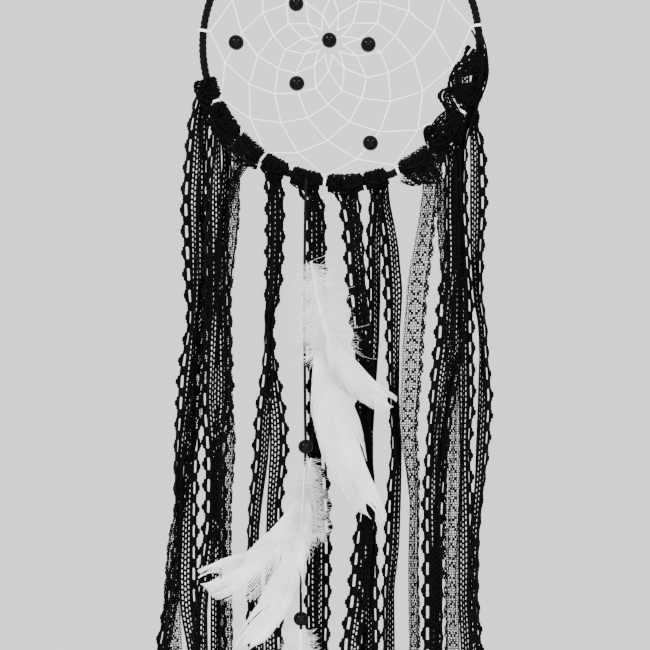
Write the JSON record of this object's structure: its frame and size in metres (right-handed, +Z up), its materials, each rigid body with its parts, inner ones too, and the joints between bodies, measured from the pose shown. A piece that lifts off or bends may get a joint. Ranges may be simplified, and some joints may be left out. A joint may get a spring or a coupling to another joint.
{
  "type": "dream catcher",
  "caption": "Hanging dream catcher: wrapped hoop with a thread web and beads, lace strips knotted along its lower half, and a front strand of beads and feathers.",
  "frame": {"origin": "middle of the hoop's tube at its top, where the piece hangs", "axes": "+Z up, front faces -Y, +X to the right seen from the front"},
  "size_m": [0.1852, 0.0196, 0.4761],
  "materials": {
    "ring_wire": "plain steel wire, hidden by the wrap",
    "hoop_wrap": "matt black suede lacing",
    "web_thread": "white waxed thread",
    "bead": "glossy black",
    "black_lace": "black cotton crochet lace",
    "sheer_lace": "fine black net lace",
    "strand_cord": "black cord",
    "feather": "soft white feather"
  },
  "bodies": {
    "hoop": {"hoop_ring": "ring_wire", "hoop_wrap": "hoop_wrap", "web_hitches": "web_thread", "web_round_1": "web_thread", "web_round_2": "web_thread", "web_round_3": "web_thread", "web_round_4": "web_thread", "web_round_5": "web_thread", "web_round_6": "web_thread", "web_round_7": "web_thread", "lace_knot_1": "black_lace", "lace_knot_2": "black_lace", "lace_knot_3": "sheer_lace", "lace_knot_4": "black_lace", "lace_knot_5": "black_lace", "lace_knot_6": "black_lace", "lace_knot_7": "black_lace", "lace_knot_8": "sheer_lace", "lace_knot_9": "black_lace", "lace_knot_10": "black_lace", "strand_hitch": "strand_cord"},
    "web_bead_1": {"web_bead_1": "bead"},
    "web_bead_2": {"web_bead_2": "bead"},
    "web_bead_3": {"web_bead_3": "bead"},
    "web_bead_4": {"web_bead_4": "bead"},
    "web_bead_5": {"web_bead_5": "bead"},
    "web_bead_6": {"web_bead_6": "bead"},
    "lace_left": {"lace_tail_1a": "black_lace", "lace_tail_1b": "black_lace", "lace_tail_2a": "black_lace", "lace_tail_2b": "black_lace", "lace_tail_3a": "sheer_lace", "lace_tail_3b": "sheer_lace"},
    "lace_inner_left": {"lace_tail_4a": "black_lace", "lace_tail_4b": "black_lace"},
    "lace_middle": {"lace_tail_5a": "black_lace", "lace_tail_5b": "black_lace"},
    "lace_inner_right": {"lace_tail_6a": "black_lace", "lace_tail_6b": "black_lace", "lace_tail_7a": "black_lace", "lace_tail_7b": "black_lace"},
    "lace_right": {"lace_tail_8a": "sheer_lace", "lace_tail_8b": "sheer_lace", "lace_tail_9a": "black_lace", "lace_tail_9b": "black_lace", "lace_tail_10a": "black_lace", "lace_tail_10b": "black_lace"},
    "front_strand": {"strand_cord": "strand_cord", "strand_bead_1": "bead", "strand_bead_2": "bead", "strand_knot": "strand_cord", "feather_1": "feather", "feather_2": "feather", "feather_3": "feather", "feather_4": "feather", "feather_5": "feather", "feather_6": "feather", "feather_7": "feather"}
  },
  "joints": [
    {"name": "web_bead_1_spin", "type": "hinge", "parent": "hoop", "child": "web_bead_1", "pos_m": [-0.05617, 0, -0.07256], "axis": [0.4733, 0, 0.8809], "continuous": true},
    {"name": "web_bead_2_spin", "type": "hinge", "parent": "hoop", "child": "web_bead_2", "pos_m": [-0.02403, 0, -0.05173], "axis": [0.9969, 0, 0.0786], "continuous": true},
    {"name": "web_bead_3_spin", "type": "hinge", "parent": "hoop", "child": "web_bead_3", "pos_m": [0.01462, 0, -0.0736], "axis": [-0.8446, 0, 0.5354], "continuous": true},
    {"name": "web_bead_4_spin", "type": "hinge", "parent": "hoop", "child": "web_bead_4", "pos_m": [-0.02366, 0, -0.09445], "axis": [-0.142, 0, 0.9899], "continuous": true},
    {"name": "web_bead_5_spin", "type": "hinge", "parent": "hoop", "child": "web_bead_5", "pos_m": [0.01572, 0, -0.12633], "axis": [0.6417, 0, 0.767], "continuous": true},
    {"name": "web_bead_6_spin", "type": "hinge", "parent": "hoop", "child": "web_bead_6", "pos_m": [-0.00626, 0, -0.0713], "axis": [0.9617, 0, 0.274], "continuous": true},
    {"name": "lace_left_swing", "type": "hinge", "parent": "hoop", "child": "lace_left", "pos_m": [-0.062, 0, -0.11405], "axis": [1, 0, 0], "range_deg": [0, 35]},
    {"name": "lace_inner_left_swing", "type": "hinge", "parent": "hoop", "child": "lace_inner_left", "pos_m": [-0.03533, 0, -0.13913], "axis": [1, 0, 0], "range_deg": [0, 35]},
    {"name": "lace_middle_swing", "type": "hinge", "parent": "hoop", "child": "lace_middle", "pos_m": [-0.01854, 0, -0.14574], "axis": [1, 0, 0], "range_deg": [0, 35]},
    {"name": "lace_inner_right_swing", "type": "hinge", "parent": "hoop", "child": "lace_inner_right", "pos_m": [0.01031, 0, -0.14738], "axis": [1, 0, 0], "range_deg": [0, 35]},
    {"name": "lace_right_swing", "type": "hinge", "parent": "hoop", "child": "lace_right", "pos_m": [0.0645, 0, -0.11005], "axis": [1, 0, 0], "range_deg": [-35, 35]},
    {"name": "front_strand_swing", "type": "hinge", "parent": "hoop", "child": "front_strand", "pos_m": [-0.01854, 0, -0.14574], "axis": [1, 0, 0], "range_deg": [-35, 0]}
  ]
}
